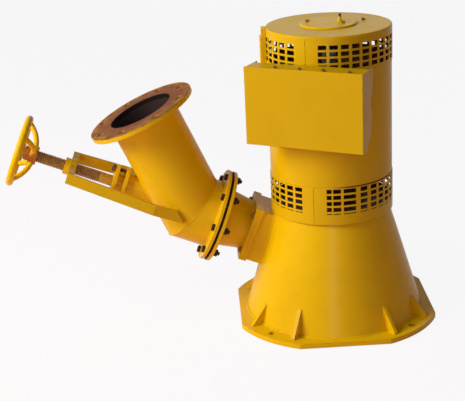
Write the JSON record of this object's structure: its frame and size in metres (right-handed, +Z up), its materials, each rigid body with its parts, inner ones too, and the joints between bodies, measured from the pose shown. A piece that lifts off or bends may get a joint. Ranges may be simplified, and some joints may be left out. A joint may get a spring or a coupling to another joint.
{
  "type": "inclined-jet micro hydroelectric generator",
  "caption": "Vertical-shaft hydroelectric generator on a conical turbine casing, fed by an inclined needle nozzle with a mitred flanged inlet pipe and a handwheel.",
  "frame": {"origin": "on the shaft axis at the underside of the base plate", "axes": "+Z up along the shaft, the nozzle and handwheel reach out towards -X, the terminal box faces between -Y and -X"},
  "size_m": [1.3465, 0.6448, 0.967],
  "materials": {
    "yellow_paint": "glossy chrome-yellow paint on welded steel",
    "rusty_steel": "bare machined steel with an even coat of red-brown rust",
    "dark_steel": "black bolts and studs with light rust",
    "rod_steel": "smooth rod with mustard-yellow overspray",
    "bright_steel": "turned steel",
    "cast_iron": "rough grey casting",
    "core_steel": "stacked laminations under dark varnish",
    "copper_winding": "varnished copper coil ends",
    "gasket_rubber": "black sheet rubber"
  },
  "bodies": {
    "root": {"base_plate": "yellow_paint", "base_gussets": "yellow_paint", "casing_cone": "yellow_paint", "casing_lid": "yellow_paint", "lower_vent_ring": "yellow_paint", "upper_vent_ring": "yellow_paint", "generator_shell": "yellow_paint", "top_cover": "yellow_paint", "bearing_cap": "yellow_paint", "upper_bearing_housing": "cast_iron", "lower_bearing_housing": "cast_iron", "main_shaft": "bright_steel", "rotor_core": "core_steel", "stator_core": "core_steel", "lower_windings": "copper_winding", "upper_windings": "copper_winding", "shell_strap": "yellow_paint", "grease_nipple": "dark_steel", "terminal_box": "yellow_paint", "terminal_box_lid": "yellow_paint", "box_saddle": "yellow_paint", "port_box": "yellow_paint", "port_flange": "yellow_paint", "nozzle_port_flange": "yellow_paint", "nozzle_stub": "yellow_paint", "stub_flange": "yellow_paint", "body_flange": "yellow_paint", "joint_gasket": "gasket_rubber", "nozzle_body": "yellow_paint", "inlet_pipe": "yellow_paint", "inlet_flange": "rusty_steel", "stuffing_box": "yellow_paint", "gland_follower": "yellow_paint", "gland_studs": "dark_steel", "yoke_head": "yellow_paint", "yoke_nut": "yellow_paint", "near_yoke_arm": "yellow_paint", "far_yoke_arm": "yellow_paint", "nozzle_tip": "cast_iron", "turbine_runner": "cast_iron"},
    "needle": {"needle_rod": "rod_steel", "needle_spear": "bright_steel"},
    "wheel": {"spindle": "rusty_steel", "handwheel": "yellow_paint", "handwheel_nut": "yellow_paint"}
  },
  "joints": [
    {"name": "needle_travel", "type": "slide", "parent": "root", "child": "needle", "axis": [-0.9239, 0, 0.3827], "range_m": [-0.0351, 0.0121]},
    {"name": "handwheel_turn", "type": "hinge", "parent": "needle", "child": "wheel", "pos_m": [-0.94236, 0.058, 0.55634], "axis": [-0.9239, 0, 0.3827], "range_deg": [-2100, 720]}
  ],
  "couplings": [
    {"joint": "needle_travel", "follows": "handwheel_turn", "m_per_rad": 0.00095493}
  ]
}
